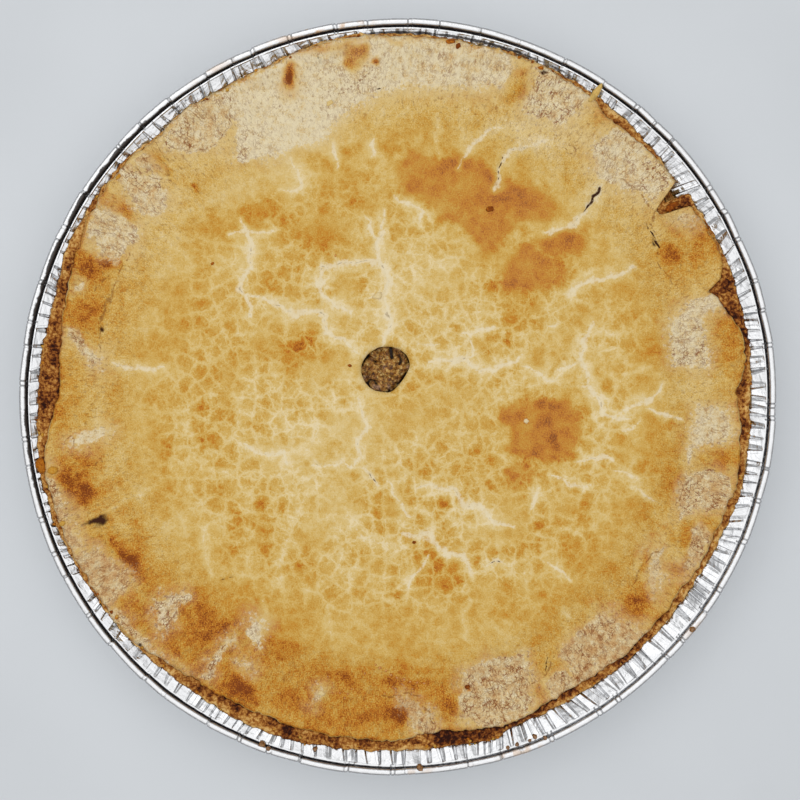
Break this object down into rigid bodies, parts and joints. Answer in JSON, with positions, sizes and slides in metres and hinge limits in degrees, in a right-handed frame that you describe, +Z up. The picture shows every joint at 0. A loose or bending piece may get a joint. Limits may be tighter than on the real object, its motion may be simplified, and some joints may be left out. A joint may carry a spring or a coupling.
{
  "type": "tourtiere",
  "caption": "Round meat pie with a bottom crust, a filling and a browned, crackled top crust with a steam vent, in its own pleated foil plate.",
  "frame": {"origin": "middle of the plate's underside, on the surface that it stands on", "axes": "+Z up, +X to the right and +Y away from the reader of the picture, which looks straight down"},
  "size_m": [0.246, 0.246, 0.0368],
  "materials": {
    "foil": "bright thin foil, pleated",
    "browned_pastry": "dry baked pastry, dark brown and porous",
    "ground_meat": "moist cooked ground meat",
    "golden_pastry": "dry baked pastry, golden with pale cracks and floury presses"
  },
  "bodies": {
    "root": {"foil_plate": "foil", "bottom_crust": "browned_pastry", "meat_filling": "ground_meat", "top_crust": "golden_pastry"}
  },
  "joints": []
}
